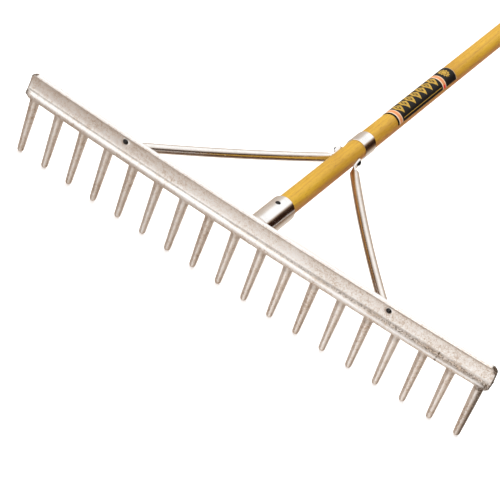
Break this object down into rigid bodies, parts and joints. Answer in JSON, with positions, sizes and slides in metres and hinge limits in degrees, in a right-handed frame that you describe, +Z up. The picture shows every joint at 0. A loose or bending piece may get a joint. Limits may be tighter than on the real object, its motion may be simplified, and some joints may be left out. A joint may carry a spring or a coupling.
{
  "type": "bow rake",
  "caption": "Landscape bow rake: cast aluminium toothed bar with steel tube braces and a steel ferrule on a long ash handle.",
  "frame": {"origin": "centre of the bounding box footprint, on the floor that the tooth tips and the handle butt stand on", "axes": "+Z up from that floor, +X along the toothed bar to the right as seen from behind the handle, +Y along the handle from the head to the butt"},
  "size_m": [0.708, 1.8419, 0.1277],
  "materials": {
    "cast_aluminium": "cast, tumbled, light satin",
    "plated_steel": "bright zinc plate",
    "dark_fastener": "black oxide",
    "ash": "clear gloss varnish on straight-grained ash",
    "label_print": "printed film, gloss"
  },
  "bodies": {
    "root": {"rake_head": "cast_aluminium", "ferrule": "plated_steel", "ferrule_pin": "plated_steel", "handle_screw": "dark_fastener", "handle": "ash", "left_brace": "plated_steel", "right_brace": "plated_steel", "left_head_rivet": "dark_fastener", "right_head_rivet": "dark_fastener", "left_rivet_washer": "plated_steel", "right_rivet_washer": "plated_steel", "brace_bolt": "dark_fastener", "brace_nut": "plated_steel", "handle_collar": "plated_steel", "collar_screw": "dark_fastener", "handle_label": "label_print"}
  },
  "joints": []
}
